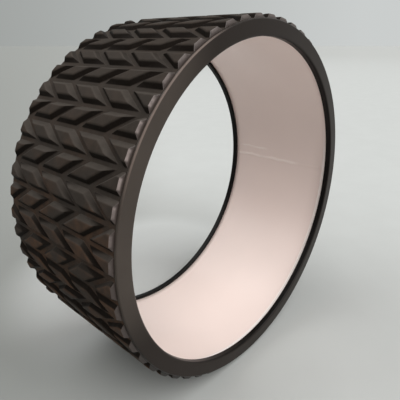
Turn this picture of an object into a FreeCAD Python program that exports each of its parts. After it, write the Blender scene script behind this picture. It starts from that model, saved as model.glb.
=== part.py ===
import FreeCAD, Part
import os
import Sketcher

# A yoga wheel: a rolled plastic hoop, a herringbone tread bonded round it, and a moulded rubber ring on
# each edge. The wheel's axis is Y, its centre is the origin, and it stands on its tread with +Z up.
# The tread's rows lie across the width. Every second row is the mirror image of the first, and the wheel
# stands on the two rows on either side of its lowest line.

# Driving dimensions in millimetres, apart from the count and the angle.
SIZES = {
    "hoop_bore": 302.0,  # inner diameter of the hoop
    "hoop_wall": 4.0,
    "bond_film": 0.4,  # thickness of the adhesive between hoop and tread
    "band_base": 6.0,  # tread thickness under the blocks
    "block_height": 3.6,
    "wheel_width": 143.0,
    "rim_wall": 2.6,  # thickness of an edge ring's side wall
    "lip_proud": 3.0,  # how far an edge ring's lip stands into the hoop
    "lip_length": 6.2,  # from the side face to the end of the lip
    "rim_bevel": 1.2,  # on an edge ring's outer corner
    "lip_bevel": 0.7,  # on the lip's two corners
    "seam_bevel": 0.6,  # on the ring where it meets the tread
    "chevrons": 28,  # pairs of rows round the wheel
    "row_floor": 2.7,  # floor width of the groove between two rows
    "row_flank": 3.8,  # run of a row's sloped side over the block height
    "block_slant": 58.0,  # degrees between a block's long sides and the wheel's round
    "block_pitch": 34.7,  # from block to block along a row
    "block_gap": 5.2,  # floor width between two blocks, along the row
    "front_flank": 6.5,  # run of a block's slanted side towards the front ring, along the row
    "rear_flank": 3.9,  # run of its other slanted side, along the row
    "gap_shift": -16.2,  # offset of one gap between blocks from the wheel's mid plane
    "tread_slope": 2.0,  # run of the blocks' sloped ends at the edge rings
    "cutter_spare": 3.0,  # how far a cutter passes the material that it removes
}

# Radii, from the lip outwards. The crown is where the corners of the blocks' tops lie.
HOOP_IN = "(Sizes.hoop_bore / 2)"
LIP_IN = f"({HOOP_IN} - Sizes.lip_proud)"
HOOP_OUT = f"({HOOP_IN} + Sizes.hoop_wall)"
BAND_IN = f"({HOOP_OUT} + Sizes.bond_film)"
FOOT = f"({BAND_IN} + Sizes.band_base)"
CROWN = f"({FOOT} + Sizes.block_height)"
CUTTER_OUT = f"({CROWN} + Sizes.cutter_spare)"
CUTTER_RISE = f"(({CUTTER_OUT} - {FOOT}) / Sizes.block_height)"

# Distances from the wheel's mid plane.
SIDE_FACE = "(Sizes.wheel_width / 2)"
SEAT = f"({SIDE_FACE} - Sizes.rim_wall)"
LIP_END = f"({SIDE_FACE} - Sizes.lip_length)"
CUTTER_END = f"({SEAT} + Sizes.cutter_spare)"

# Half the angle of a row, half the angle of its flat top, and the height of that top over the axis.
HALF_ROW = "(90 deg / Sizes.chevrons)"
HALF_TOP = f"({HALF_ROW} - asin((Sizes.row_floor / 2 + Sizes.row_flank) / {CROWN}))"
TOP_PLANE = f"({CROWN} * cos({HALF_TOP}))"

# Half the length of a row's cutters round the wheel: they end over the floors of the grooves beside it.
HALF_CUTTER = f"({FOOT} * sin({HALF_ROW}) - Sizes.row_floor / 4)"

# The first and the last gap along a row that reach the blocks' tops.
GAP_REACH = (
    f"({SEAT} - Sizes.tread_slope + Sizes.block_gap / 2"
    f" + {CROWN} * sin({HALF_TOP}) * tan(Sizes.block_slant * 1 deg))"
)
FIRST_GAP = f"ceil((0 - {GAP_REACH} - Sizes.front_flank - Sizes.gap_shift) / Sizes.block_pitch)"
LAST_GAP = f"floor(({GAP_REACH} + Sizes.rear_flank - Sizes.gap_shift) / Sizes.block_pitch)"

doc = FreeCAD.newDocument("YogaWheel")
sheet = doc.addObject("Spreadsheet::Sheet", "Sizes")
for row, (alias, value) in enumerate(SIZES.items(), start=1):
    sheet.set(f"A{row}", alias)
    sheet.set(f"B{row}", str(value))
    sheet.setAlias(f"B{row}", alias)
doc.recompute()


def amount(expression):
    """The present value of an expression, as a plain number."""
    value = sheet.evalExpression(expression)
    return getattr(value, "Value", value)


def origin_feature(body, role):
    """One of a body's own origin planes or axes."""
    return next(feature for feature in body.Origin.OriginFeatures if feature.Role == role)


def add_sketch(body, name, role):
    """An empty sketch on one of the body's origin planes."""
    sketch = body.newObject("Sketcher::SketchObject", name)
    sketch.AttachmentSupport = [(origin_feature(body, role), "")]
    sketch.MapMode = "FlatFace"
    return sketch


def draw_outline(sketch, corners):
    """A closed outline of straight lines. Each corner is a pair of expressions, measured from the origin."""
    points = [FreeCAD.Vector(amount(across), amount(up), 0) for across, up in corners]
    lines = []
    for start, end in zip(points, points[1:] + points[:1]):
        lines.append(sketch.addGeometry(Part.LineSegment(start, end), False))
    for line, following in zip(lines, lines[1:] + lines[:1]):
        sketch.addConstraint(Sketcher.Constraint("Coincident", line, 2, following, 1))
    for line, point, (across, up) in zip(lines, points, corners):
        for kind, value, expression in (("DistanceX", point.x, across), ("DistanceY", point.y, up)):
            index = sketch.addConstraint(Sketcher.Constraint(kind, -1, 1, line, 1, value))
            sketch.setExpression(f"Constraints[{index}]", expression)


def add_row_sketch(body, name):
    """An empty sketch across the wheel, on the middle plane of the row that follows the top of the wheel."""
    sketch = add_sketch(body, name, "YZ_Plane")
    half_row = FreeCAD.Rotation(FreeCAD.Vector(1, 0, 0), amount(HALF_ROW))
    sketch.AttachmentOffset = FreeCAD.Placement(FreeCAD.Vector(), half_row)
    sketch.setExpression("AttachmentOffset.Rotation.Angle", HALF_ROW)
    return sketch


def turn(body, name, sketch):
    """Turn a sketch about the wheel's axis."""
    feature = body.newObject("PartDesign::Revolution", name)
    feature.Profile = sketch
    feature.ReferenceAxis = (sketch, ["V_Axis"])
    feature.Angle = 360


def cut_both_ways(body, name, sketch, length):
    """Cut a sketch's outlines out of a body, half the length to each side of the sketch."""
    pocket = body.newObject("PartDesign::Pocket", name)
    pocket.Profile = sketch
    pocket.Midplane = True
    pocket.setExpression("Length", length)
    return pocket


def repeat_every_row(body, name, feature):
    """Repeat a feature in each row round the wheel."""
    pattern = body.newObject("PartDesign::PolarPattern", name)
    pattern.Originals = [feature]
    pattern.Axis = (origin_feature(body, "Y_Axis"), [""])
    pattern.Angle = 360
    pattern.setExpression("Occurrences", "2 * Sizes.chevrons")
    body.Tip = pattern


def make_sleeve(label, inner, outer):
    """A plain round sleeve that ends at the edge rings' seats."""
    body = doc.addObject("PartDesign::Body", label)
    profile = add_sketch(body, f"{label}_profile", "XY_Plane")
    draw_outline(profile, [(inner, f"-{SEAT}"), (outer, f"-{SEAT}"), (outer, SEAT), (inner, SEAT)])
    turn(body, f"{label}_turned", profile)
    return body


def make_edge_ring(label, angle):
    """A ring whose side wall covers the ends of hoop and tread, with a lip that lines the hoop's edge."""
    body = doc.addObject("PartDesign::Body", label)
    profile = add_sketch(body, f"{label}_profile", "XY_Plane")
    draw_outline(profile, [
        (f"{LIP_IN} + Sizes.lip_bevel", f"-{SIDE_FACE}"),
        (f"{FOOT} - Sizes.rim_bevel", f"-{SIDE_FACE}"),
        (FOOT, f"-({SIDE_FACE} - Sizes.rim_bevel)"),
        (FOOT, f"-({SEAT} + Sizes.seam_bevel)"),
        (f"{FOOT} - Sizes.seam_bevel", f"-{SEAT}"),
        (HOOP_IN, f"-{SEAT}"),
        (HOOP_IN, f"-{LIP_END}"),
        (f"{LIP_IN} + Sizes.lip_bevel", f"-{LIP_END}"),
        (LIP_IN, f"-({LIP_END} + Sizes.lip_bevel)"),
        (LIP_IN, f"-({SIDE_FACE} - Sizes.lip_bevel)"),
    ])
    turn(body, f"{label}_turned", profile)
    body.Placement = FreeCAD.Placement(FreeCAD.Vector(), FreeCAD.Rotation(FreeCAD.Vector(0, 0, 1), angle))
    return body


def add_round_blank(body, kind, name):
    """A prism or cylinder on the wheel's axis, as wide as the band."""
    blank = body.newObject(kind, name)
    blank.AttachmentSupport = [(origin_feature(body, "XZ_Plane"), "")]
    blank.MapMode = "FlatFace"
    blank.setExpression("Height", f"2 * {SEAT}")
    blank.setExpression("AttachmentOffset.Base.z", f"-{SEAT}")
    return blank


def cut_row_grooves(body):
    """The sloped grooves between the rows."""
    profile = add_sketch(body, "row_groove_profile", "XZ_Plane")
    floor = "(Sizes.row_floor / 2)"
    mouth = f"({floor} + Sizes.row_flank * {CUTTER_RISE})"
    draw_outline(profile, [
        (f"-{floor}", FOOT),
        (floor, FOOT),
        (mouth, CUTTER_OUT),
        (f"-{mouth}", CUTTER_OUT),
    ])
    groove = cut_both_ways(body, "row_groove", profile, f"2 * {CUTTER_END}")
    doc.recompute()
    repeat_every_row(body, "row_grooves", groove)


def cut_sloped_ends(body):
    """The slopes at both ends of every row, which rise from the edge rings."""
    profile = add_row_sketch(body, "sloped_end_profile")
    slope_end = f"({SEAT} - Sizes.tread_slope * {CUTTER_RISE})"
    for side in ("", "-"):
        draw_outline(profile, [
            (f"{side}{SEAT}", FOOT),
            (f"{side}{CUTTER_END}", FOOT),
            (f"{side}{CUTTER_END}", CUTTER_OUT),
            (f"{side}{slope_end}", CUTTER_OUT),
        ])
    ends = cut_both_ways(body, "sloped_end", profile, f"2 * {HALF_CUTTER}")
    doc.recompute()
    repeat_every_row(body, "sloped_ends", ends)


def cut_slanted_gaps(body):
    """The slanted gaps that part a row into blocks: along the row, mirrored, and on round the wheel."""
    profile = add_row_sketch(body, "slanted_gap_profile")
    middle = f"(Sizes.gap_shift + {FIRST_GAP} * Sizes.block_pitch)"
    floor = "(Sizes.block_gap / 2)"
    draw_outline(profile, [
        (f"{middle} - {floor}", FOOT),
        (f"{middle} + {floor}", FOOT),
        (f"{middle} + {floor} + Sizes.front_flank * {CUTTER_RISE}", CUTTER_OUT),
        (f"{middle} - {floor} - Sizes.rear_flank * {CUTTER_RISE}", CUTTER_OUT),
    ])
    gap = cut_both_ways(body, "slanted_gap", profile, f"2 * {HALF_CUTTER}")
    gap.UseCustomVector = True
    gap.AlongSketchNormal = True
    gap.setExpression("Direction.x", f"cos({HALF_ROW})")
    gap.setExpression("Direction.y", "tan(Sizes.block_slant * 1 deg)")
    gap.setExpression("Direction.z", f"-sin({HALF_ROW})")
    doc.recompute()
    along = doc.addObject("PartDesign::LinearPattern", "along_the_row")
    along.Direction = (origin_feature(body, "Y_Axis"), [""])
    along.setExpression("Length", f"({LAST_GAP} - {FIRST_GAP}) * Sizes.block_pitch")
    along.setExpression("Occurrences", f"{LAST_GAP} - {FIRST_GAP} + 1")
    mirrored = doc.addObject("PartDesign::Mirrored", "mirrored_row")
    mirrored.MirrorPlane = (origin_feature(body, "YZ_Plane"), [""])
    around = doc.addObject("PartDesign::PolarPattern", "round_the_wheel")
    around.Axis = (origin_feature(body, "Y_Axis"), [""])
    around.Angle = 360
    around.setExpression("Occurrences", "Sizes.chevrons")
    herringbone = body.newObject("PartDesign::MultiTransform", "herringbone")
    herringbone.Originals = [gap]
    herringbone.Transformations = [along, mirrored, around]
    body.Tip = herringbone


def make_tread_band(label):
    """The moulded band: a bored blank with a flat side for each row, cut to blocks by grooves and gaps."""
    body = doc.addObject("PartDesign::Body", label)
    blank = add_round_blank(body, "PartDesign::AdditivePrism", "row_blank")
    blank.setExpression("Polygon", "2 * Sizes.chevrons")
    blank.setExpression("Circumradius", f"{TOP_PLANE} / cos({HALF_ROW})")
    bore = add_round_blank(body, "PartDesign::SubtractiveCylinder", "band_bore")
    bore.setExpression("Radius", BAND_IN)
    doc.recompute()
    for cut in (cut_row_grooves, cut_sloped_ends, cut_slanted_gaps):
        cut(body)
        doc.recompute()
    return body


HALF_TURN = 180
pieces = [
    make_sleeve("inner_hoop", HOOP_IN, HOOP_OUT),
    make_sleeve("bond_layer", HOOP_OUT, BAND_IN),
    make_tread_band("tread_band"),
    make_edge_ring("front_edge_ring", 0),
    make_edge_ring("rear_edge_ring", HALF_TURN),
]
doc.recompute()

for item in doc.Objects:
    if "Invalid" in item.State or "Error" in item.State:
        raise RuntimeError(f"{item.Label} failed to build: {item.State}")
os.makedirs("parts", exist_ok=True)
for piece in pieces:
    shape = piece.Shape
    if shape.isNull() or not shape.isValid() or len(shape.Solids) != 1:
        raise RuntimeError(f"{piece.Label} is not one valid solid")
    shape.exportStep(f"parts/{piece.Label}.step")
    print(f"{piece.Label}: {shape.Volume / 1000:.1f} cm3, {len(shape.Faces)} faces")
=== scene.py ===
import math

import bmesh
import bpy
from bpy.props import FloatProperty, FloatVectorProperty, IntProperty, PointerProperty
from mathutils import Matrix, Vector


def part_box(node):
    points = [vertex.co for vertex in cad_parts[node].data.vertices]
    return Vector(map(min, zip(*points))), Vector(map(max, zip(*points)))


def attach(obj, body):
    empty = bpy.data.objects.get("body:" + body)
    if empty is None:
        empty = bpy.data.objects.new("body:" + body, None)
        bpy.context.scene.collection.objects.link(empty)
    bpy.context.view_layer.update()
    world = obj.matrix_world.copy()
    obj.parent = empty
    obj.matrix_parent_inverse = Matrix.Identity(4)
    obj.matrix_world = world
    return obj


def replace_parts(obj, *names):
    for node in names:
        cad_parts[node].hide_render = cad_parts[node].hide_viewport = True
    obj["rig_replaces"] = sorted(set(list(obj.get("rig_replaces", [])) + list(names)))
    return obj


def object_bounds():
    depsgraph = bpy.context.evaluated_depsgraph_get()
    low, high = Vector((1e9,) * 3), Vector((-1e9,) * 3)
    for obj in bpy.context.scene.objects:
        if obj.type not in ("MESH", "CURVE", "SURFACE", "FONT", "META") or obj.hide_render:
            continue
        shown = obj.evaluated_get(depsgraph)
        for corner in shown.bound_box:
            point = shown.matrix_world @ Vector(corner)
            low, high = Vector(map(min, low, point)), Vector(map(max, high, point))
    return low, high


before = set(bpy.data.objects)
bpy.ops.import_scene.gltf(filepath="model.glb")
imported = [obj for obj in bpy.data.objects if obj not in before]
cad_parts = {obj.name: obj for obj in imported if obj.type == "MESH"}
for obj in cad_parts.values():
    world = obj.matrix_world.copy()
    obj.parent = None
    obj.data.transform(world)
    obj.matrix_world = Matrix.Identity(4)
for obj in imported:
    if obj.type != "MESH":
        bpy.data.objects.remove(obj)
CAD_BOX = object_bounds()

# A yoga wheel standing on its tread. The wheel's axis is Y and its centre is the origin. The front edge
# ring is on the -Y side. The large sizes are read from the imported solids, and the finer ones are named here.

bl_info = {
    "name": "Yoga wheel",
    "version": (1, 0, 0),
    "blender": (4, 5, 0),
    "location": "3D View > Sidebar > Yoga Wheel",
    "description": "Models the hoop, the herringbone tread and the edge rings of a yoga wheel, and a studio",
    "category": "Object",
}

MM = 0.001
MERGE = 0.002 * MM  # corners closer than this are one
SLACK = 2 * MERGE  # a place this far outside still counts as inside
SAME = 5 * MERGE  # places closer than this are the same
AXIS = (0, 1, 0)
CENTRE = (0, 0, 0)
ROLLED_SMOOTH, MOULDED_SMOOTH = 12, 35  # edges flatter than this, in degrees, are shaded smooth
FLARE_ROUND, END_ROUND = 1.2 * MM, 0.4 * MM  # rounding where the hoop's flares start, and of its ends
WELD_STOP = 2 * MM  # the weld ends this far before the flares
WELD_SLOPE = 0.3  # share of the weld's width by which its top is inset
# places along the weld in mm, its offset round the hoop there in mm, and the share of its height
WELD_WAVES = ((-46, 0.2, 0.6), (-28, -0.3, 0.7), (-10, 0.5, 0.9), (4, -0.3, 1.0), (18, 0.4, 0.9),
              (32, -0.4, 1.0), (46, 0.3, 0.8))
END_FACING = 0.6  # faces that look along the axis more than this are ends of rows


def spans(node):
    """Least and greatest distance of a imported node's corners from the wheel's axis."""
    reach = [math.hypot(corner.co.x, corner.co.z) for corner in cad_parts[node].data.vertices]
    return min(reach), max(reach)


HOOP_IN, HOOP_OUT = spans("inner_hoop")
LIP_IN, RING_OUT = spans("front_edge_ring")
BAND_IN, CROWN = spans("tread_band")
FOOT = RING_OUT  # the blocks stand on the level of the edge rings
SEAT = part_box("tread_band")[1].y  # where hoop and tread end, from the mid plane
SIDE_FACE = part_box("rear_edge_ring")[1].y
LIP_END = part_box("rear_edge_ring")[0].y
FLOOR_LEVEL = CAD_BOX[0].z


def length(name, value, description):
    """A length in millimetres that a user may change."""
    return FloatProperty(name=name, description=description, default=value * MM, min=0, unit="LENGTH")


def colour(name, value, description):
    """A colour, in scene linear values, that a user may change."""
    return FloatVectorProperty(
        name=name, description=description, default=value, subtype="COLOR", min=0, max=1)


def angle(name, value, description):
    """An angle in degrees that a user may change."""
    return FloatProperty(name=name, description=description, default=math.radians(value), subtype="ANGLE")


def strength(name, value, description):
    """The strength of a light that a user may change."""
    return FloatProperty(name=name, description=description, default=value, min=0)


class HoopSettings(bpy.types.PropertyGroup):
    """The rolled plastic hoop"""
    flare_run: length("Flare length", 5.0, "Length of the slope by which the hoop opens out before each lip")
    flare_rise: length("Flare depth", 0.8, "How much wider the bore is at its ends")
    seam_width: length("Seam width", 4.0, "Width of the weld where the rolled sheet meets")
    seam_height: length("Seam height", 0.5, "Height of the weld over the bore")
    seam_lean: length("Seam lean", 0.5, "How far the weld's ridge leans down")
    steps: IntProperty(name="Steps", description="Facets round the hoop", default=192, min=24)
    blush: colour("Blush", (0.89, 0.757, 0.715), "Colour of the plastic")
    # the weld and a second line beside it are whitened, partly as a painted highlight along them
    whitening_and_glint: colour("Scuff", (1.0, 0.905, 0.865), "Colour of scuffs and of the weld")
    # a painted highlight on the flare before the front lip
    highlit: colour("Stretched", (1.0, 0.94, 0.915), "Colour of the stretched flare before the front lip")
    # painted shade on the plastic just before the flare
    shaded: colour("Shaded", (0.80, 0.675, 0.635), "Colour of the plastic beside that flare")


class TreadSettings(bpy.types.PropertyGroup):
    """The moulded herringbone band"""
    chevrons: IntProperty(name="Chevrons", description="Pairs of rows round the wheel", default=28, min=8)
    row_floor: length("Groove floor", 2.7, "Floor width of the groove between two rows")
    row_flank: length("Row flank", 3.8, "Run of a row's sloped sides")
    block_pitch: length("Block pitch", 34.7, "From block to block along a row")
    block_gap: length("Gap floor", 5.2, "Floor width of the gap between two blocks, along the row")
    front_flank: length("Front flank", 6.5, "Run, along the row, of the side that faces the front ring")
    rear_flank: length("Rear flank", 3.9, "Run, along the row, of the side that faces the rear ring")
    end_slope: length("End slope", 0.9, "Run of the slopes at the ends of a row")
    rounding: length("Rounding", 0.9, "Rounding of the blocks' edges")
    gap_shift: FloatProperty(
        name="Gap shift", description="Offset of one gap from the mid plane",
        default=-16.2 * MM, unit="LENGTH")
    slant: angle("Slant", 58, "Angle between a block's long sides and the wheel's round")
    # the blocks' sides keep this dark colour, made darker than the rubber's own as painted shade
    rubber: colour("Rubber", (0.0130, 0.0100, 0.0083), "Colour of the rubber on the blocks' sides")
    dusty: colour("Dusty rubber", (0.0535, 0.0452, 0.0392), "Colour of the rubber where dust settles")
    # dust and painted light from above, on the sides that turn upwards
    dust_and_light: colour("Settled dust", (0.075, 0.065, 0.057), "Colour of the sides that turn upwards")
    # browner patches on tops and floors, stronger towards the bottom of the wheel
    brown_patch: colour("Worn rubber", (0.100, 0.0585, 0.0385), "Colour of browner patches of tops and floors")
    # a painted highlight on the ends of the rows, given the colour of paler cut foam
    end_glint_tint: colour("Cut ends", (0.30, 0.245, 0.232), "Colour of the trimmed foam at the ends of the rows")
    # the row ends take this colour higher up and stay dark rubber at the bottom of the wheel
    upper_end_tint: colour("Scuffed ends", (0.060, 0.045, 0.040), "Colour of those ends elsewhere")
    speck: colour("Specks", (0.05, 0.044, 0.039), "Colour of fine specks of dust")


class RingSettings(bpy.types.PropertyGroup):
    """The two moulded edge rings"""
    rim_round: length("Rim rounding", 1.25, "Rounding of the ring's outer corner")
    face_round: length("Face rounding", 1.8, "Rounding from the side face to the lip")
    lip_round: length("Lip rounding", 0.8, "Rounding of the lip's end")
    seam_round: length("Seam rounding", 0.6, "Rounding where the ring meets the tread")
    steps: IntProperty(name="Steps", description="Facets round a ring", default=192, min=24)
    rubber: colour("Rubber", (0.0215, 0.0158, 0.0130), "Colour of the rings")
    # painted light: the rings' faces are lighter on their left, from about mid-height up
    sheen: colour("Bloom", (0.076, 0.062, 0.053), "Colour of the dull bloom on one side of the rings")
    lip: colour("Lip", (0.0030, 0.0024, 0.0021), "Colour of the lips inside the hoop")
    # a painted highlight on the upper left part of the rings' outer corner
    glinting: colour("Rubbed corner", (0.175, 0.135, 0.118), "Colour of the outer corner where it is rubbed")


class StageSettings(bpy.types.PropertyGroup):
    """Floor, light and camera"""
    # the floor and background are painted darker on the left than on the right, as painted light falloff
    floor_left: colour("Floor, left", (0.325, 0.34, 0.33), "Colour of the floor on the camera's left")
    floor_right: colour("Floor, right", (0.57, 0.59, 0.585), "Colour of the floor on the camera's right")
    # painted light: the floor is paler in the distance on the right and in a pool behind the wheel
    floor_lit: colour("Floor, pale", (0.635, 0.662, 0.66), "Colour of the paler floor behind the wheel")
    floor_mottle: colour("Floor, mottle", (0.3, 0.3, 0.3), "Colour of faint clouds on the floor")
    sky: strength("Sky", 0.02, "Strength of the even light")
    front_lamp: strength("Front lamp", 2.8, "Strength of the lamp in front")
    left_lamp: strength("Left lamp", 0.3, "Strength of the lamp on the left")
    rear_lamp: strength("Rear lamp", 1.2, "Strength of the lamp behind")
    azimuth: angle("Azimuth", -48.4, "Camera's bearing from the front")
    elevation: angle("Elevation", 20.5, "Camera's angle over the floor")
    distance: FloatProperty(
        name="Distance", description="From the camera to the wheel's centre", default=0.409, unit="LENGTH")


class WheelSettings(bpy.types.PropertyGroup):
    """All settings of the wheel"""
    hoop: PointerProperty(type=HoopSettings, name="Hoop", description="The rolled plastic hoop")
    tread: PointerProperty(type=TreadSettings, name="Tread", description="The moulded herringbone band")
    ring: PointerProperty(type=RingSettings, name="Edge rings", description="The two moulded edge rings")
    stage: PointerProperty(type=StageSettings, name="Stage", description="Floor, light and camera")


# Modelling


def start_plane(name, width, depth, place):
    """Add a level plane of a given size and open it in edit mode with nothing else selected."""
    bpy.ops.object.select_all(action="DESELECT")
    bpy.ops.mesh.primitive_plane_add(size=1)
    piece = bpy.context.object
    piece.name = name
    piece.data.name = name
    bpy.ops.object.mode_set(mode="EDIT")
    bpy.ops.transform.resize(value=(width, depth, 1), center_override=CENTRE)
    bpy.ops.transform.translate(value=place)
    return piece


def pick(kind, test):
    """Select those corners, edges or faces of the open piece that pass a test."""
    bpy.ops.mesh.select_mode(type={"verts": "VERT", "edges": "EDGE", "faces": "FACE"}[kind])
    bpy.ops.mesh.select_all(action="DESELECT")
    data = bpy.context.object.data
    mesh = bmesh.from_edit_mesh(data)
    for element in getattr(mesh, kind):
        if test(element):
            element.select_set(True)
    mesh.select_flush_mode()
    bmesh.update_edit_mesh(data)


def near(a, b):
    """Whether two coordinates are the same."""
    return abs(a - b) < SAME


def slice_selected(point, normal):
    """Cut the selected faces along a plane and keep both sides."""
    bpy.ops.mesh.bisect(plane_co=point, plane_no=normal, threshold=MERGE)


def round_corners(test, size, segments):
    """Round those corners of a flat outline that pass a test."""
    pick("verts", test)
    bpy.ops.mesh.bevel(offset=size, segments=segments, profile=0.5, affect="VERTICES")


def close_up():
    """Merge doubled corners and turn every face outwards."""
    bpy.ops.mesh.select_all(action="SELECT")
    bpy.ops.mesh.remove_doubles(threshold=MERGE)
    bpy.ops.mesh.normals_make_consistent(inside=False)


def turn_outline(steps):
    """Join the open piece's flat faces to one outline and turn it about the wheel's axis."""
    bpy.ops.mesh.select_mode(type="FACE")
    bpy.ops.mesh.select_all(action="SELECT")
    bpy.ops.mesh.dissolve_faces()
    bpy.ops.mesh.delete(type="ONLY_FACE")
    bpy.ops.mesh.select_mode(type="VERT")
    bpy.ops.mesh.select_all(action="SELECT")
    bpy.ops.mesh.spin(steps=steps, angle=math.tau, center=CENTRE, axis=AXIS)
    close_up()


def finish_piece(piece, smooth_below, node):
    """Smooth the open piece's shading, keep its flats flat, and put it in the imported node's place."""
    bpy.ops.object.mode_set(mode="OBJECT")
    bpy.ops.object.shade_smooth_by_angle(angle=math.radians(smooth_below))
    bpy.ops.object.modifier_add(type="WEIGHTED_NORMAL")
    piece.modifiers[-1].keep_sharp = True
    bpy.ops.object.modifier_apply(modifier=piece.modifiers[-1].name)
    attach(piece, "root")
    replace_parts(piece, node)


# Materials. A pair of values is a fade: it starts at the first value and is complete at the second.

NOISE_SPAN = (0.3, 0.7)  # most values of a noise lie in here

# the tread
DUST_AND_LIGHT_TILT = (0.55, 0.85)  # upward part of the normal of a side that takes dust and painted light from above
TILT_LOSS = 0.8  # taken off that part for each crown radius of height over half way up, so upper rows take less painted light
BROWN_HEIGHT = (115 * MM, -20 * MM)  # the brown patches come in from the top down
TOP_DUST = (1.2 * MM, 0.3 * MM)  # depth below the crown
FLOOR_DUST = 0.5 * MM  # the dust on the groove floors ends this far above them
END_GLINT_MIDDLE = (0.26, 0.15)  # share of a row's width from its middle where the painted highlight shows
END_GLINT_FOOT, END_GLINT_CROWN = 0.6 * MM, 1.4 * MM  # it starts this far above the foot, full this far below the crown
END_GLINT_TOP, END_GLINT_LOW = (140 * MM, 100 * MM), (-10 * MM, 75 * MM)  # its height on the wheel
END_TONE_HEIGHT = (-110 * MM, -50 * MM)  # height on the wheel over which the row ends turn from the dark rubber below to their paler colour above

# the edge rings
# painted light on the rings' left side, from about mid-height up
SHEEN_SIDE, SHEEN_HEIGHT = (-60 * MM, -115 * MM), (-70 * MM, -10 * MM)  # along X and Z
FACE_DEPTH = (0.9 * MM, 0.1 * MM)  # depth behind the side face where the lip's colour ends
# painted highlight on the upper left part of the outer corner
CORNER_GLINT_SIDE, CORNER_GLINT_HEIGHT = (-45 * MM, -80 * MM), (40 * MM, 90 * MM)  # along X and Z
CORNER_GLINT_EDGE = 0.4 * MM  # the painted highlight comes in over this much of the corner

# the hoop
CLOUDED = 0.96  # brightness of the darker clouds
STREAK_RATIO = 40  # streaks are this much finer round the hoop than along it
WAVER = 5 * MM  # how far the marks waver round the hoop
# the weld's mark and the second line: whitened plastic, partly a painted highlight
# place round the hoop, half width, and where along the axis the mark starts and ends
WELD_MARK = (0.0, 2.2 * MM, -32 * MM, 70 * MM)
RUB_AND_GLINT_MARK = (11.3 * MM, 1.6 * MM, 12 * MM, 62 * MM)
MARK_CORE = 0.2  # share of a mark's width that has its full colour
MARK_FADE = 12 * MM  # a mark runs out over this length at its ends
MARK_DULL = 0.2  # added roughness of the marks
FLARE_FADE = 1.5 * MM  # the painted highlight on the flare comes in over this length
FLARE_HEIGHT = (60 * MM, 0)  # it also comes in from the top down
SHADED_RUN, SHADED_HEIGHT = 14 * MM, (-100 * MM, -30 * MM)  # painted shade on the plastic beside the flare

# the adhesive
ADHESIVE, THIN_ADHESIVE = (0.52, 0.47, 0.34), (0.60, 0.56, 0.45)


def add_node(tree, kind, sockets=None, **settings):
    """Add a shader node. A socket takes a plain value or the output that feeds it."""
    node = tree.nodes.new(kind)
    for name, value in settings.items():
        setattr(node, name, value)
    for name, value in (sockets or {}).items():
        if isinstance(value, bpy.types.NodeSocket):
            tree.links.new(value, node.inputs[name])
        else:
            node.inputs[name].default_value = value
    return node


def new_finish(name, **fixed):
    """A material with its shader's even values set. Returns the material, its nodes and the shader."""
    material = bpy.data.materials.new(name)
    material.use_nodes = True
    tree = material.node_tree
    shader = tree.nodes["Principled BSDF"]
    for socket, value in fixed.items():
        shader.inputs[socket.replace("_", " ")].default_value = value
    return material, tree, shader


def maths(tree, operation, first, second=0.0, clamp=False):
    """One step of arithmetic. Values and outputs may be mixed."""
    node = add_node(tree, "ShaderNodeMath", {0: first, 1: second}, operation=operation, use_clamp=clamp)
    return node.outputs[0]


def product(tree, first, *others):
    """All factors multiplied."""
    for factor in others:
        first = maths(tree, "MULTIPLY", first, factor)
    return first


def vector(tree, operation, first, second=CENTRE):
    """One step of arithmetic on vectors. Returns the node's outputs."""
    return add_node(tree, "ShaderNodeVectorMath", {0: first, 1: second}, operation=operation).outputs


def split(tree, place):
    """The X, Y and Z parts of a vector."""
    return add_node(tree, "ShaderNodeSeparateXYZ", {"Vector": place}).outputs


def noise(tree, where, scale, detail=3.0, roughness=0.55):
    """Cloudy noise. A larger scale is finer."""
    return add_node(tree, "ShaderNodeTexNoise", {
        "Vector": where, "Scale": scale, "Detail": detail, "Roughness": roughness}).outputs["Fac"]


def cells(tree, where, scale):
    """The distance from the middles of scattered cells."""
    return add_node(tree, "ShaderNodeTexVoronoi", {"Vector": where, "Scale": scale}).outputs["Distance"]


def ranged(tree, value, low, high, to_low=0.0, to_high=1.0, kind="SMOOTHSTEP"):
    """A fade from one result to another while a value goes from low to high."""
    return add_node(tree, "ShaderNodeMapRange", {
        "Value": value, "From Min": low, "From Max": high, "To Min": to_low, "To Max": to_high,
    }, interpolation_type=kind).outputs["Result"]


def blended(tree, share, first, second):
    """A share of the second colour over the first."""
    node = add_node(tree, "ShaderNodeMix", data_type="RGBA")
    for socket, value in ((node.inputs["Factor"], share), (node.inputs[6], first), (node.inputs[7], second)):
        if isinstance(value, bpy.types.NodeSocket):
            tree.links.new(value, socket)
        elif socket.type == "RGBA":
            socket.default_value = (*value, 1)
        else:
            socket.default_value = value
    return node.outputs[2]


def bumped(tree, shader, height, depth, share):
    """Give a shader a fine relief."""
    bump = add_node(tree, "ShaderNodeBump", {"Height": height, "Distance": depth, "Strength": share})
    tree.links.new(bump.outputs["Normal"], shader.inputs["Normal"])


def object_place(tree):
    """The place on the object, and its distance from the wheel's axis."""
    place = add_node(tree, "ShaderNodeTexCoord").outputs["Object"]
    flat = vector(tree, "MULTIPLY", place, (1, 0, 1))[0]
    return place, vector(tree, "LENGTH", flat)["Value"]


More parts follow.
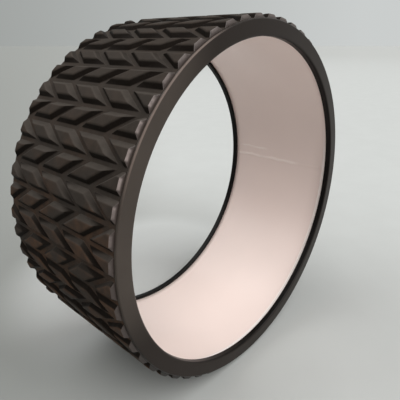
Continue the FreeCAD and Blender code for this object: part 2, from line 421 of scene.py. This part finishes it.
def tread_rubber(settings):
    """Matte foam rubber with fine closed cells.

    It is dusty on tops and floors, in browner patches that are stronger towards the bottom; the blocks' other
    sides are darker as painted shade, and sides that turn upwards take dust and painted light from above."""
    material, tree, shader = new_finish(
        "moulded_tread", Specular_IOR_Level=0.02, Specular_Tint=(1.0, 0.88, 0.78, 1))
    place, radius = object_place(tree)
    patches = noise(tree, place, scale=26)
    clouds = noise(tree, place, scale=140)
    specks = noise(tree, place, scale=900, detail=2.0)
    height = split(tree, place)["Z"]
    # sides that turn upwards are painted lighter, as dust and painted light from above; less so on the upper
    # rows
    upward = split(tree, add_node(tree, "ShaderNodeNewGeometry").outputs["Normal"])["Z"]
    over_half = maths(tree, "MAXIMUM", maths(tree, "SUBTRACT", height, CROWN / 2), 0.0)
    dust_and_light_share = maths(tree, "SUBTRACT", upward, product(tree, over_half, TILT_LOSS / CROWN))
    dust_and_light_share = ranged(tree, dust_and_light_share, *DUST_AND_LIGHT_TILT)
    brown = product(
        tree, ranged(tree, patches, 0.36, 0.60), ranged(tree, clouds, *NOISE_SPAN, 0.5, 1.0),
        ranged(tree, height, *BROWN_HEIGHT, 0.1, 1.0))
    # tops and floors take the dusty colour; the blocks' other sides keep the darker colour as painted shade
    top = ranged(tree, radius, CROWN - TOP_DUST[0], CROWN - TOP_DUST[1])
    floor = ranged(tree, radius, FOOT + FLOOR_DUST, FOOT)
    uneven = ranged(tree, clouds, 0.25, 0.75, 0.75, 1.0)
    level = product(tree, maths(tree, "MAXIMUM", top, floor), uneven)
    tint = blended(tree, level, settings.rubber, blended(tree, brown, settings.dusty, settings.brown_patch))
    tint = blended(tree, product(tree, dust_and_light_share, uneven), tint, settings.dust_and_light)
    tint = blended(tree, ranged(tree, specks, 0.56, 0.75, 0.0, 0.25), tint, settings.speck)
    tree.links.new(tint, shader.inputs["Base Color"])
    tree.links.new(ranged(tree, clouds, *NOISE_SPAN, 0.46, 0.58), shader.inputs["Roughness"])
    grain = maths(tree, "ADD", product(tree, cells(tree, place, scale=1500), 0.5), specks)
    bumped(tree, shader, grain, depth=0.12 * MM, share=0.5)
    return material


def trimmed_foam(settings):
    """The ends of the rows, where the band was trimmed.

    On the wheel's upper half a paler patch in the middle of each end, towards the crown, is a painted
    highlight; elsewhere the ends are darker towards the bottom of the wheel."""
    material, tree, shader = new_finish("trimmed_ends", Specular_IOR_Level=0.4, Roughness=0.42)
    place, radius = object_place(tree)
    parts = split(tree, place)
    turn = maths(tree, "ARCTAN2", parts["X"], parts["Z"])
    in_row = maths(tree, "FRACT", product(tree, turn, settings.chevrons / math.pi))
    off_middle = maths(tree, "ABSOLUTE", maths(tree, "SUBTRACT", in_row, 0.5))
    pores = cells(tree, place, scale=1100)
    patches = noise(tree, place, scale=170)
    # a painted highlight: a paler patch in the middle of each end on the wheel's upper half
    end_glint = product(
        tree, ranged(tree, off_middle, *END_GLINT_MIDDLE),
        ranged(tree, radius, FOOT + END_GLINT_FOOT, CROWN - END_GLINT_CROWN),
        ranged(tree, parts["Z"], *END_GLINT_TOP, 0.2, 1.0), ranged(tree, parts["Z"], *END_GLINT_LOW),
        ranged(tree, patches, 0.35, 0.6, 0.45, 1.0))
    # the row ends are darker towards the bottom of the wheel
    end_height = ranged(tree, parts["Z"], *END_TONE_HEIGHT)
    end_tone = blended(tree, end_height, settings.rubber, settings.upper_end_tint)
    tree.links.new(blended(tree, end_glint, end_tone, settings.end_glint_tint), shader.inputs["Base Color"])
    bumped(tree, shader, pores, depth=0.1 * MM, share=0.6)
    return material


def edge_rubber(settings):
    """Satin rubber with a faint moulded grain.

    It is nearly black on the lip. Each ring's face is painted lighter on its left, from about mid-height up,
    as painted light, and has a painted highlight on its upper left outer corner."""
    material, tree, shader = new_finish("satin_rim", Specular_IOR_Level=0.13)
    place, radius = object_place(tree)
    parts = split(tree, place)
    off_middle = maths(tree, "ABSOLUTE", parts["Y"])
    clouds = noise(tree, place, scale=24)
    grain = noise(tree, place, scale=1400, detail=2.0)
    # painted light: the face is lighter on the left, from about mid-height up
    lit = product(
        tree, ranged(tree, parts["X"], *SHEEN_SIDE), ranged(tree, parts["Z"], *SHEEN_HEIGHT),
        ranged(tree, clouds, 0.2, 0.8, 0.7, 1.0))
    side = ranged(tree, off_middle, SIDE_FACE - FACE_DEPTH[0], SIDE_FACE - FACE_DEPTH[1])
    side = maths(tree, "MAXIMUM", side, ranged(tree, radius, HOOP_IN, HOOP_OUT))
    face = blended(tree, lit, settings.rubber, settings.sheen)
    # a painted highlight on the upper left part of the outer corner
    outer = maths(tree, "ADD", radius, off_middle)
    corner = RING_OUT + SIDE_FACE - settings.rim_round
    glinting = product(
        tree, ranged(tree, outer, corner, corner + CORNER_GLINT_EDGE),
        ranged(tree, parts["X"], *CORNER_GLINT_SIDE), ranged(tree, parts["Z"], *CORNER_GLINT_HEIGHT))
    face = blended(tree, glinting, face, settings.glinting)
    tree.links.new(blended(tree, side, settings.lip, face), shader.inputs["Base Color"])
    tree.links.new(ranged(tree, clouds, *NOISE_SPAN, 0.30, 0.38), shader.inputs["Roughness"])
    bumped(tree, shader, grain, depth=0.05 * MM, share=0.35)
    return material


def hoop_plastic(settings):
    """Glossy blush plastic with a soft ripple.

    The weld and a second line beside it are whitened, partly as a painted highlight; the flare before the
    front lip is made lighter as a painted highlight, with painted shade on the plastic just before that flare."""
    material, tree, shader = new_finish(
        "blush_plastic", Specular_IOR_Level=0.5, Coat_Weight=0.1, Coat_Roughness=0.3)
    place, _ = object_place(tree)
    parts = split(tree, place)
    around = product(tree, maths(tree, "ARCTAN2", parts["Z"], parts["X"]), HOOP_IN)
    clouds = noise(tree, place, scale=7)
    along = add_node(tree, "ShaderNodeCombineXYZ", {
        "X": product(tree, around, STREAK_RATIO), "Y": parts["Y"]}).outputs[0]
    streaks = noise(tree, along, scale=60)
    waver = maths(tree, "SUBTRACT", noise(tree, place, scale=65), 0.5)
    wavy = maths(tree, "ADD", around, product(tree, waver, WAVER))
    # the weld and the second line take the whitened colour, partly as a painted highlight
    weld = scuff_line(tree, wavy, parts["Y"], *WELD_MARK)
    rub_and_glint = scuff_line(tree, wavy, parts["Y"], *RUB_AND_GLINT_MARK)
    marks = product(tree, maths(tree, "ADD", weld, rub_and_glint, clamp=True), ranged(tree, streaks, 0.3, 0.6))
    flare_start = LIP_END - settings.flare_run
    forward = product(tree, parts["Y"], -1.0)
    lower = ranged(tree, parts["Z"], *FLARE_HEIGHT)
    # a painted highlight on the flare before the front lip, on the hoop's lower part
    highlit = product(tree, lower, ranged(tree, forward, flare_start, flare_start + FLARE_FADE))
    # painted shade on the plastic just before the flare, low on the hoop
    beside = product(
        tree, lower, ranged(tree, forward, flare_start - SHADED_RUN, flare_start),
        ranged(tree, parts["Z"], *SHADED_HEIGHT))
    clouded = [value * CLOUDED for value in settings.blush]
    tint = blended(tree, ranged(tree, clouds, *NOISE_SPAN), settings.blush, clouded)
    tint = blended(tree, beside, tint, settings.shaded)
    tint = blended(tree, marks, tint, settings.whitening_and_glint)
    tree.links.new(blended(tree, highlit, tint, settings.highlit), shader.inputs["Base Color"])
    gloss = ranged(tree, noise(tree, place, scale=90), *NOISE_SPAN, 0.28, 0.36)
    dulled = maths(tree, "ADD", gloss, product(tree, marks, MARK_DULL))
    tree.links.new(dulled, shader.inputs["Roughness"])
    bumped(tree, shader, noise(tree, place, scale=160, detail=1.0), depth=0.04 * MM, share=0.25)
    return material


def scuff_line(tree, around, across, centre, half_width, start, end):
    """A mask for a mark across the hoop, at a place round it, between two places along the axis."""
    off = maths(tree, "ABSOLUTE", maths(tree, "SUBTRACT", around, centre))
    line = ranged(tree, off, half_width, MARK_CORE * half_width)
    middle, reach = (start + end) / 2, (end - start) / 2
    past = maths(tree, "ABSOLUTE", maths(tree, "SUBTRACT", across, middle))
    return product(tree, line, ranged(tree, past, reach, reach - MARK_FADE))


def bond_adhesive():
    """Dull amber adhesive with uneven spread, seen only where the wheel is taken apart."""
    material, tree, shader = new_finish("adhesive", Roughness=0.6)
    place, _ = object_place(tree)
    spread = noise(tree, place, scale=35)
    tint = blended(tree, ranged(tree, spread, 0.35, 0.65), ADHESIVE, THIN_ADHESIVE)
    tree.links.new(tint, shader.inputs["Base Color"])
    bumped(tree, shader, spread, depth=0.1 * MM, share=0.4)
    return material


# Pieces


def model_hoop(settings):
    """A plastic hoop turned from its wall's outline, flared at both ends, with a low wavy weld inside."""
    wall = HOOP_OUT - HOOP_IN
    flare_end = LIP_END
    flare_start = flare_end - settings.flare_run
    piece = start_plane("rolled_hoop", wall, 2 * SEAT, (HOOP_IN + wall / 2, 0, 0))
    for place in (-flare_end, -flare_start, flare_start, flare_end):
        bpy.ops.mesh.select_all(action="SELECT")
        slice_selected((0, place, 0), AXIS)
    pick("verts", lambda v: near(v.co.x, HOOP_IN) and abs(v.co.y) > flare_end - MERGE)
    bpy.ops.transform.translate(value=(settings.flare_rise, 0, 0))
    round_corners(lambda v: near(v.co.x, HOOP_IN) and near(abs(v.co.y), flare_start), FLARE_ROUND, segments=4)
    round_corners(lambda v: near(abs(v.co.y), SEAT), END_ROUND, segments=2)
    turn_outline(settings.steps)
    half = settings.seam_width / 2
    step = math.tau / settings.steps * HOOP_IN

    def beside_seam(face, reach):
        """Whether a face lies inside the hoop, within reach of the weld's middle."""
        centre = face.calc_center_median()
        return (centre.x > 0 and math.hypot(centre.x, centre.z) < HOOP_IN + wall / 4
                and abs(centre.y) < flare_start - WELD_STOP and abs(centre.z) < reach)

    for side in (-1, 1):
        pick("faces", lambda face: beside_seam(face, step))
        slice_selected((0, 0, side * half), (0, 0, 1))
    for place, _, _ in WELD_WAVES:
        pick("faces", lambda face: beside_seam(face, half))
        slice_selected((0, place * MM, 0), AXIS)
    pick("faces", lambda face: beside_seam(face, half))
    bpy.ops.mesh.inset(thickness=WELD_SLOPE * settings.seam_width, depth=settings.seam_height)
    bpy.ops.transform.translate(value=(0, 0, -settings.seam_lean))
    for place, wave, share in WELD_WAVES:
        pick("verts", lambda v: near(v.co.y, place * MM) and v.co.x > 0
             and math.hypot(v.co.x, v.co.z) < HOOP_IN - settings.seam_height / 2)
        bpy.ops.transform.translate(value=((1 - share) * settings.seam_height, 0, wave * MM))
    close_up()
    piece.data.materials.append(hoop_plastic(settings))
    finish_piece(piece, ROLLED_SMOOTH, "inner_hoop")


def model_edge_rings(settings):
    """One ring turned from its outline and its mirror image on the other side."""
    depth = SIDE_FACE - SEAT
    wall = RING_OUT - LIP_IN
    front = start_plane("front_rim", wall, depth, (LIP_IN + wall / 2, -SEAT - depth / 2, 0))
    slice_selected((HOOP_IN, 0, 0), (1, 0, 0))
    pick("edges", lambda e: all(near(v.co.y, -SEAT) and v.co.x < HOOP_IN + MERGE for v in e.verts))
    bpy.ops.mesh.extrude_edges_move(TRANSFORM_OT_translate={"value": (0, SEAT - LIP_END, 0)})
    # a corner's distance from the axis and from the mid plane, its rounding and the segments of that
    for radius, off_middle, size, segments in (
            (RING_OUT, SIDE_FACE, settings.rim_round, 6), (RING_OUT, SEAT, settings.seam_round, 3),
            (LIP_IN, SIDE_FACE, settings.face_round, 5), (LIP_IN, LIP_END, settings.lip_round, 4)):
        round_corners(lambda v: near(v.co.x, radius) and near(abs(v.co.y), off_middle), size, segments)
    turn_outline(settings.steps)
    front.data.materials.append(edge_rubber(settings))
    finish_piece(front, MOULDED_SMOOTH, "front_edge_ring")
    bpy.ops.object.duplicate()
    rear = bpy.context.object
    rear.name = "rear_rim"
    rear.data.name = "rear_rim"
    del rear["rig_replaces"]
    bpy.ops.object.mode_set(mode="EDIT")
    bpy.ops.mesh.select_all(action="SELECT")
    bpy.ops.transform.resize(value=(1, -1, 1), center_override=CENTRE)
    close_up()
    finish_piece(rear, MOULDED_SMOOTH, "rear_edge_ring")


class RowShape:
    """Places in one tread row, with the row's middle at the top of the wheel and its length along Y."""

    def __init__(self, settings):
        self.half_angle = math.pi / (2 * settings.chevrons)
        sine, cosine = math.sin(self.half_angle), math.cos(self.half_angle)
        half_floor = settings.row_floor / 2
        half_top = self.half_angle - math.asin((half_floor + settings.row_flank) / CROWN)
        self.border = Vector((FOOT * sine, 0, FOOT * cosine))
        self.foot = self.border + Vector((-half_floor * cosine, 0, half_floor * sine))
        self.top = Vector((CROWN * math.sin(half_top), 0, CROWN * math.cos(half_top)))
        self.rise = self.top.z - self.foot.z

    def on_bar(self, place):
        """Whether a place is on the row's raised bar, its foot included."""
        return abs(place.x) < self.foot.x + SLACK

    def end_plane(self, side, settings):
        """A point on the slope at one end of the row, and the slope's outward normal."""
        run = settings.end_slope * self.rise / (CROWN - FOOT)
        return Vector((0, side * SEAT, self.foot.z)), Vector((0, side * self.rise, run)).normalized()

    def gap_plane(self, middle, side, settings):
        """A point on one side of a gap between blocks, and that side's normal, away from the block."""
        start = Vector((0, middle + side * settings.block_gap / 2, self.foot.z))
        along = Vector((1, math.tan(settings.slant), 0))
        flank = settings.front_flank if side > 0 else settings.rear_flank
        up = Vector((0, side * flank * self.rise / (CROWN - FOOT), self.rise))
        return start, -side * up.cross(along).normalized()

    def gap_middles(self, settings):
        """Where along the row the gaps are that reach the blocks' tops."""
        reach = SEAT - settings.end_slope + settings.block_gap / 2 + self.top.x * math.tan(settings.slant)
        first = math.ceil((-reach - settings.front_flank - settings.gap_shift) / settings.block_pitch)
        last = math.floor((reach + settings.rear_flank - settings.gap_shift) / settings.block_pitch)
        return [settings.gap_shift + number * settings.block_pitch for number in range(first, last + 1)]


def beyond(place, plane, slack=SLACK):
    """Whether a place is on the side of a plane that its normal points to, or just short of it."""
    point, normal = plane
    return (place - point).dot(normal) > -slack


def face_over(test):
    """Close the corners that pass a test with one face."""
    pick("verts", test)
    bpy.ops.mesh.edge_face_add()


def cut_away(shape, planes):
    """Take off the part of the row's bar that lies beyond all of the planes, and face the cuts."""
    for plane in planes:
        pick("faces", lambda face: shape.on_bar(face.calc_center_median()))
        slice_selected(*plane)
    pick("faces", lambda face: shape.on_bar(face.calc_center_median())
         and all(beyond(face.calc_center_median(), plane) for plane in planes))
    bpy.ops.mesh.delete(type="FACE")
    for plane in planes:
        face_over(lambda v: shape.on_bar(v.co) and abs((v.co - plane[0]).dot(plane[1])) < SAME)


def model_row(settings, shape):
    """One row of slanted blocks on its strip of floor, cut from a bar and rounded."""
    piece = start_plane("herringbone_band", 2 * shape.top.x, 2 * SEAT, (0, 0, shape.top.z))
    for side in (-1, 1):
        for corner, following in ((shape.top, shape.foot), (shape.foot, shape.border)):
            pick("edges", lambda e: all(near(v.co.x, side * corner.x) for v in e.verts))
            step = following - corner
            bpy.ops.mesh.extrude_edges_move(TRANSFORM_OT_translate={"value": (side * step.x, 0, step.z)})
    for side in (-1, 1):
        cut_away(shape, [shape.end_plane(side, settings)])
    for middle in shape.gap_middles(settings):
        sides = [shape.gap_plane(middle, side, settings) for side in (-1, 1)]
        cut_away(shape, sides)
        face_over(lambda v: shape.on_bar(v.co) and near(v.co.z, shape.foot.z)
                  and all(beyond(v.co, plane, SAME) for plane in sides))
    pick("edges", lambda e: max(v.co.z for v in e.verts) > shape.foot.z + shape.rise / 2)
    bpy.ops.mesh.bevel(offset=settings.rounding, segments=2, profile=0.5, affect="EDGES")
    piece.data.materials.append(tread_rubber(settings))
    piece.data.materials.append(trimmed_foam(settings))
    pick("faces", lambda face: abs(face.normal.y) > END_FACING)
    piece.active_material_index = 1
    bpy.ops.object.material_slot_assign()
    bpy.ops.object.mode_set(mode="OBJECT")
    return piece


def turn_object(piece, turn):
    """Turn a piece about the wheel's axis and keep the turn in its mesh."""
    piece.rotation_euler.y = turn
    bpy.ops.object.transform_apply(location=False, rotation=True, scale=False)


def model_tread(settings):
    """The herringbone band: a row and its mirror image, repeated round the wheel and lined inside."""
    shape = RowShape(settings)
    piece = model_row(settings, shape)
    bpy.ops.object.duplicate()
    mirrored = bpy.context.object
    bpy.ops.object.mode_set(mode="EDIT")
    bpy.ops.mesh.select_all(action="SELECT")
    bpy.ops.transform.resize(value=(-1, 1, 1), center_override=CENTRE)
    bpy.ops.object.mode_set(mode="OBJECT")
    turn_object(mirrored, -shape.half_angle)
    bpy.ops.object.select_all(action="DESELECT")
    piece.select_set(True)
    bpy.context.view_layer.objects.active = piece
    turn_object(piece, shape.half_angle)
    mirrored.select_set(True)
    bpy.ops.object.join()
    bpy.ops.object.mode_set(mode="EDIT")
    bpy.ops.mesh.select_all(action="SELECT")
    copies = settings.chevrons - 1
    bpy.ops.mesh.spin(
        steps=copies, dupli=True, angle=math.tau * copies / settings.chevrons, center=CENTRE, axis=AXIS)
    close_up()
    for side in (-1, 1):
        pick("edges", lambda e: e.is_boundary and all(near(v.co.y, side * SEAT) for v in e.verts))
        bpy.ops.mesh.extrude_edges_move(TRANSFORM_OT_translate={"value": (0, 0, 0)})
        bpy.ops.transform.resize(value=(BAND_IN / FOOT, 1, BAND_IN / FOOT), center_override=CENTRE)
    pick("edges", lambda e: e.is_boundary)
    bpy.ops.mesh.bridge_edge_loops()
    close_up()
    finish_piece(piece, MOULDED_SMOOTH, "tread_band")


def finish_bond_layer():
    """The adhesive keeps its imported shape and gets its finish."""
    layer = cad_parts["bond_layer"]
    layer.data.materials.clear()
    layer.data.materials.append(bond_adhesive())


# Stage. Distances on the floor are in metres.

FLOOR_RADIUS, FLOOR_CORNERS = 40, 96
TINT_ASIDE = (-0.5, 0.35)  # from the left colour to the right one, by how far to the right a place lies
TINT_BLUR = 0.25  # softens that change near the camera's foot
FAR_LIGHT_START, FAR_LIGHT_END = (0.38, 1.1), (12, 2)  # distance from the camera's foot of the floor painted paler, as painted light
FAR_LIGHT_ASIDE = (-0.35, -0.05)  # how far to the right it starts and is complete
LIGHT_POOL = (30 * MM, 130 * MM, 0)  # middle of the painted pool of light behind the wheel
LIGHT_POOL_REACH, LIGHT_POOL_FRONT = (215 * MM, 115 * MM), (25 * MM, 80 * MM)  # from its middle, and along the axis
MOTTLE = 0.04  # greatest share of the floor's faint clouds
SKY_TINT, LAMP_TINT = (0.95, 0.98, 1.0, 1), (1.0, 0.985, 0.96)
SHOWN_SKY = 1.04  # strength of the background that the camera sees
# name of each lamp and of its strength's setting, its width in degrees and the direction towards it
LAMPS = (
    ("front_lamp", 65, (0.08, -0.64, 0.76)),
    ("left_lamp", 50, (-0.72, -0.36, 0.60)),
    ("rear_lamp", 60, (-0.32, 0.50, 0.80)),
)
SENSOR, LENS = 36, 35.46  # in mm
SHIFT_X, SHIFT_Y = -0.0025, -0.0258  # in widths of the picture
NEAREST = 0.01  # the camera shows nothing nearer than this


def side_tint(tree, outward, settings, blur):
    """The stage's colour in a direction from the camera's foot: darker on its left than on its right, as
    painted light falloff.

    Also returns how far to the right that direction lies, and the distance."""
    right = (math.cos(settings.azimuth), math.sin(settings.azimuth), 0)
    level = vector(tree, "MULTIPLY", outward, (1, 1, 0))[0]
    raised = vector(tree, "ADD", level, (0, 0, blur))[0]
    reach = vector(tree, "LENGTH", raised)["Value"]
    aside = maths(tree, "DIVIDE", vector(tree, "DOT_PRODUCT", level, right)["Value"], reach)
    share = ranged(tree, aside, *TINT_ASIDE, kind="LINEAR")
    return blended(tree, share, settings.floor_left, settings.floor_right), aside, reach


def lay_floor(settings, foot):
    """A round floor that runs out of sight, with painted light: paler in the distance towards the right, and
    in a painted pool of light behind the wheel.
    """
    bpy.ops.object.select_all(action="DESELECT")
    bpy.ops.mesh.primitive_circle_add(
        vertices=FLOOR_CORNERS, radius=FLOOR_RADIUS, fill_type="NGON", location=(0, 0, FLOOR_LEVEL))
    floor = bpy.context.object
    floor.name = "studio_floor"
    material, tree, shader = new_finish("studio_floor", Roughness=0.9, Specular_IOR_Level=0.1)
    place, _ = object_place(tree)
    seen_from = vector(tree, "SUBTRACT", place, foot)[0]
    tint, aside, reach = side_tint(tree, seen_from, settings, TINT_BLUR)
    # painted light: the paler floor in the distance and the pool of light behind the wheel
    lighter = product(
        tree, ranged(tree, reach, *FAR_LIGHT_START), ranged(tree, reach, *FAR_LIGHT_END),
        ranged(tree, aside, *FAR_LIGHT_ASIDE))
    light_pool = product(
        tree, ranged(tree, split(tree, place)["Y"], *LIGHT_POOL_FRONT),
        ranged(tree, vector(tree, "DISTANCE", place, LIGHT_POOL)["Value"], *LIGHT_POOL_REACH))
    tint = blended(tree, maths(tree, "ADD", lighter, light_pool, clamp=True), tint, settings.floor_lit)
    mottle = ranged(tree, noise(tree, place, scale=14), *NOISE_SPAN, 0.0, MOTTLE)
    tree.links.new(blended(tree, mottle, tint, settings.floor_mottle), shader.inputs["Base Color"])
    floor.data.materials.append(material)


def light_sky(settings):
    """A weak even light, and a background in the floor's colours where the sky itself is seen."""
    world = bpy.data.worlds.new("studio")
    bpy.context.scene.world = world
    world.use_nodes = True
    tree = world.node_tree
    tree.nodes.clear()
    light = add_node(tree, "ShaderNodeBackground", {"Color": SKY_TINT, "Strength": settings.sky})
    outward = add_node(tree, "ShaderNodeTexCoord").outputs["Generated"]
    tint, _, _ = side_tint(tree, outward, settings, 0.0)
    shown = add_node(tree, "ShaderNodeBackground", {"Color": tint, "Strength": SHOWN_SKY})
    path = add_node(tree, "ShaderNodeLightPath").outputs
    seen = maths(tree, "ADD", path["Is Camera Ray"], path["Is Glossy Ray"], clamp=True)
    seen = maths(tree, "ADD", seen, path["Is Transmission Ray"], clamp=True)
    mixed = add_node(tree, "ShaderNodeMixShader", {0: seen, 1: light.outputs[0], 2: shown.outputs[0]})
    add_node(tree, "ShaderNodeOutputWorld", {"Surface": mixed.outputs[0]})


def hang_lamps(settings):
    """Three broad lamps."""
    for name, width, toward in LAMPS:
        bpy.ops.object.light_add(type="SUN", location=toward)
        lamp = bpy.context.object
        lamp.name = name
        lamp.data.energy = getattr(settings, name)
        lamp.data.angle = math.radians(width)
        lamp.data.color = LAMP_TINT
        lamp.rotation_euler = Vector(toward).to_track_quat("Z", "Y").to_euler()


def place_camera(settings, back):
    """The camera, looking at the wheel's centre."""
    bpy.ops.object.camera_add(location=back * settings.distance)
    camera = bpy.context.object
    camera.name = "photo_camera"
    camera.rotation_euler = (-back).to_track_quat("-Z", "Y").to_euler()
    camera.data.sensor_width = SENSOR
    camera.data.lens = LENS
    camera.data.shift_x = SHIFT_X
    camera.data.shift_y = SHIFT_Y
    camera.data.clip_start = NEAREST
    bpy.context.scene.camera = camera


def build_stage(settings):
    """The floor, the light, the camera and the way colours are shown."""
    flat = math.cos(settings.elevation)
    back = Vector((
        math.sin(settings.azimuth) * flat, -math.cos(settings.azimuth) * flat, math.sin(settings.elevation)))
    lay_floor(settings, Vector((back.x, back.y, 0)) * settings.distance)
    light_sky(settings)
    hang_lamps(settings)
    place_camera(settings, back)
    bpy.context.scene.view_settings.view_transform = "Standard"


class PieceOperator:
    """What the wheel's operators share."""
    bl_options = {"REGISTER", "UNDO"}

    @classmethod
    def poll(cls, context):
        return context.mode == "OBJECT"


class YOGAWHEEL_OT_hoop(PieceOperator, bpy.types.Operator):
    """Model the rolled plastic hoop with its weld"""
    bl_idname = "yoga_wheel.hoop"
    bl_label = "Hoop"

    def execute(self, context):
        model_hoop(context.scene.yoga_wheel.hoop)
        return {"FINISHED"}


class YOGAWHEEL_OT_bond_layer(PieceOperator, bpy.types.Operator):
    """Give the adhesive between hoop and tread its finish"""
    bl_idname = "yoga_wheel.bond_layer"
    bl_label = "Bond layer"

    def execute(self, context):
        finish_bond_layer()
        return {"FINISHED"}


class YOGAWHEEL_OT_tread(PieceOperator, bpy.types.Operator):
    """Model the herringbone tread"""
    bl_idname = "yoga_wheel.tread"
    bl_label = "Tread"

    def execute(self, context):
        model_tread(context.scene.yoga_wheel.tread)
        return {"FINISHED"}


class YOGAWHEEL_OT_edge_rings(PieceOperator, bpy.types.Operator):
    """Model the two edge rings"""
    bl_idname = "yoga_wheel.edge_rings"
    bl_label = "Edge rings"

    def execute(self, context):
        model_edge_rings(context.scene.yoga_wheel.ring)
        return {"FINISHED"}


class YOGAWHEEL_OT_stage(PieceOperator, bpy.types.Operator):
    """Build the floor, the light and the camera"""
    bl_idname = "yoga_wheel.stage"
    bl_label = "Stage"

    def execute(self, context):
        build_stage(context.scene.yoga_wheel.stage)
        return {"FINISHED"}


class YOGAWHEEL_PT_pieces(bpy.types.Panel):
    """Buttons and settings for the wheel"""
    bl_label = "Yoga wheel"
    bl_idname = "YOGAWHEEL_PT_pieces"
    bl_space_type = "VIEW_3D"
    bl_region_type = "UI"
    bl_category = "Yoga Wheel"

    def draw(self, context):
        settings = context.scene.yoga_wheel
        groups = (
            (settings.hoop, ("yoga_wheel.hoop", "yoga_wheel.bond_layer")),
            (settings.tread, ("yoga_wheel.tread",)),
            (settings.ring, ("yoga_wheel.edge_rings",)),
            (settings.stage, ("yoga_wheel.stage",)),
        )
        for group, operators in groups:
            box = self.layout.box()
            for name in group.__annotations__:
                box.prop(group, name)
            for operator in operators:
                box.operator(operator)


CLASSES = (
    HoopSettings, TreadSettings, RingSettings, StageSettings, WheelSettings,
    YOGAWHEEL_OT_hoop, YOGAWHEEL_OT_bond_layer, YOGAWHEEL_OT_tread, YOGAWHEEL_OT_edge_rings,
    YOGAWHEEL_OT_stage, YOGAWHEEL_PT_pieces,
)


def register():
    """Make the settings, operators and panel known."""
    for each in CLASSES:
        bpy.utils.register_class(each)
    bpy.types.Scene.yoga_wheel = PointerProperty(type=WheelSettings)


def unregister():
    """Take them away again."""
    del bpy.types.Scene.yoga_wheel
    for each in reversed(CLASSES):
        bpy.utils.unregister_class(each)


def main():
    """Build every piece and the stage."""
    register()
    bpy.ops.yoga_wheel.hoop()
    bpy.ops.yoga_wheel.bond_layer()
    bpy.ops.yoga_wheel.tread()
    bpy.ops.yoga_wheel.edge_rings()
    bpy.ops.yoga_wheel.stage()


if __name__ == "__main__":
    main()
